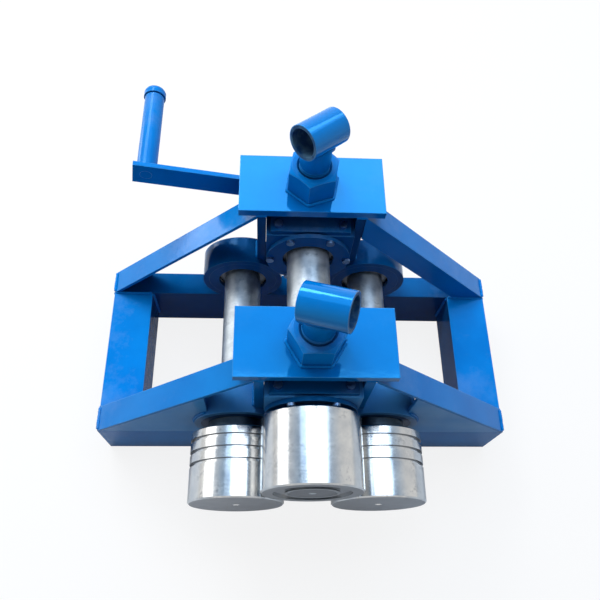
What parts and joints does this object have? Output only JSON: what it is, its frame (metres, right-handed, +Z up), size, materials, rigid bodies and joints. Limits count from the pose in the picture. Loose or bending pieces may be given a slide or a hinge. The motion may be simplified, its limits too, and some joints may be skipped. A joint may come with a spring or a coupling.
{
  "type": "ring roller",
  "caption": "Hand-cranked ring roller: welded base and trusses, a screw-set upper roller between posts, and grooved lower rollers, all overhung from long shafts.",
  "frame": {"origin": "middle of the front bar's underside, on the surface that the base stands on", "axes": "+Z up, +Y along the shafts from the rollers towards the crank, +X to the right seen from the roller end"},
  "size_m": [0.5, 0.4871, 0.3862],
  "materials": {
    "blue_enamel": "gloss",
    "turned_steel": "turned",
    "bearing_steel": "ground",
    "blackened_steel": "oiled black",
    "dark_steel": "dull"
  },
  "bodies": {
    "frame": {"front_bar": "blue_enamel", "rear_bar": "blue_enamel", "bar_end_plates": "blue_enamel", "left_rail": "blue_enamel", "right_rail": "blue_enamel", "front_left_diagonal": "blue_enamel", "front_right_diagonal": "blue_enamel", "rear_left_diagonal": "blue_enamel", "rear_right_diagonal": "blue_enamel", "front_left_web": "blue_enamel", "front_right_web": "blue_enamel", "front_top_plate": "blue_enamel", "rear_top_plate": "blue_enamel", "front_guide_posts": "blue_enamel", "rear_guide_posts": "blue_enamel", "front_screw_nut": "blue_enamel", "rear_screw_nut": "blue_enamel", "front_left_housing": "blue_enamel", "front_right_housing": "blue_enamel", "rear_left_housing": "blue_enamel", "rear_right_housing": "blue_enamel", "lower_covers": "blue_enamel", "front_left_outer_ring": "bearing_steel", "front_right_outer_ring": "bearing_steel", "rear_left_outer_ring": "bearing_steel", "rear_right_outer_ring": "bearing_steel", "lower_bearing_balls": "bearing_steel"},
    "carriage": {"front_block": "blue_enamel", "rear_block": "blue_enamel", "front_block_outer_ring": "bearing_steel", "rear_block_outer_ring": "bearing_steel", "upper_bearing_balls": "bearing_steel", "upper_covers": "blue_enamel", "cover_bolts": "blue_enamel", "screw_retainers": "blue_enamel", "retainer_bolts": "blue_enamel"},
    "front_pressure_screw": {"front_screw": "blue_enamel", "front_cross_tube": "blue_enamel"},
    "rear_pressure_screw": {"rear_screw": "blue_enamel", "rear_cross_tube": "blue_enamel"},
    "upper_roll": {"upper_shaft": "turned_steel", "upper_roller": "turned_steel", "upper_inner_rings": "bearing_steel", "upper_clips": "blackened_steel", "upper_spacer": "dark_steel", "upper_shaft_keys": "blackened_steel", "crank_hub": "blue_enamel", "crank_arm": "blue_enamel", "grip_pin": "blue_enamel"},
    "left_roll": {"left_shaft": "turned_steel", "left_roller": "turned_steel", "left_inner_rings": "bearing_steel", "left_clips": "blackened_steel", "left_spacer": "dark_steel"},
    "right_roll": {"right_shaft": "turned_steel", "right_roller": "turned_steel", "right_inner_rings": "bearing_steel", "right_clips": "blackened_steel", "right_spacer": "dark_steel"},
    "grip": {"grip_sleeve": "blue_enamel"}
  },
  "joints": [
    {"name": "carriage_slide", "type": "slide", "parent": "frame", "child": "carriage", "axis": [0, 0, 1], "range_m": [-0.002, 0.0135]},
    {"name": "front_screw_turn", "type": "hinge", "parent": "carriage", "child": "front_pressure_screw", "pos_m": [0, 0.022, 0.361], "axis": [0, 0, 1], "range_deg": [-206.71, 1389.57]},
    {"name": "rear_screw_turn", "type": "hinge", "parent": "carriage", "child": "rear_pressure_screw", "pos_m": [0, 0.209, 0.361], "axis": [0, 0, 1], "range_deg": [-206.71, 1389.57]},
    {"name": "upper_roll_turn", "type": "hinge", "parent": "carriage", "child": "upper_roll", "pos_m": [0, 0, 0.201], "axis": [0, 1, 0], "continuous": true},
    {"name": "left_roll_turn", "type": "hinge", "parent": "frame", "child": "left_roll", "pos_m": [-0.0785, 0, 0.128], "axis": [0, 1, 0], "continuous": true},
    {"name": "right_roll_turn", "type": "hinge", "parent": "frame", "child": "right_roll", "pos_m": [0.0785, 0, 0.128], "axis": [0, 1, 0], "continuous": true},
    {"name": "grip_turn", "type": "hinge", "parent": "upper_roll", "child": "grip", "pos_m": [-0.19186, 0, 0.23587], "axis": [0, 1, 0], "continuous": true}
  ],
  "couplings": [
    {"joint": "front_screw_turn", "follows": "carriage_slide", "rad_per_m": 1795.2},
    {"joint": "rear_screw_turn", "follows": "carriage_slide", "rad_per_m": 1795.2}
  ]
}
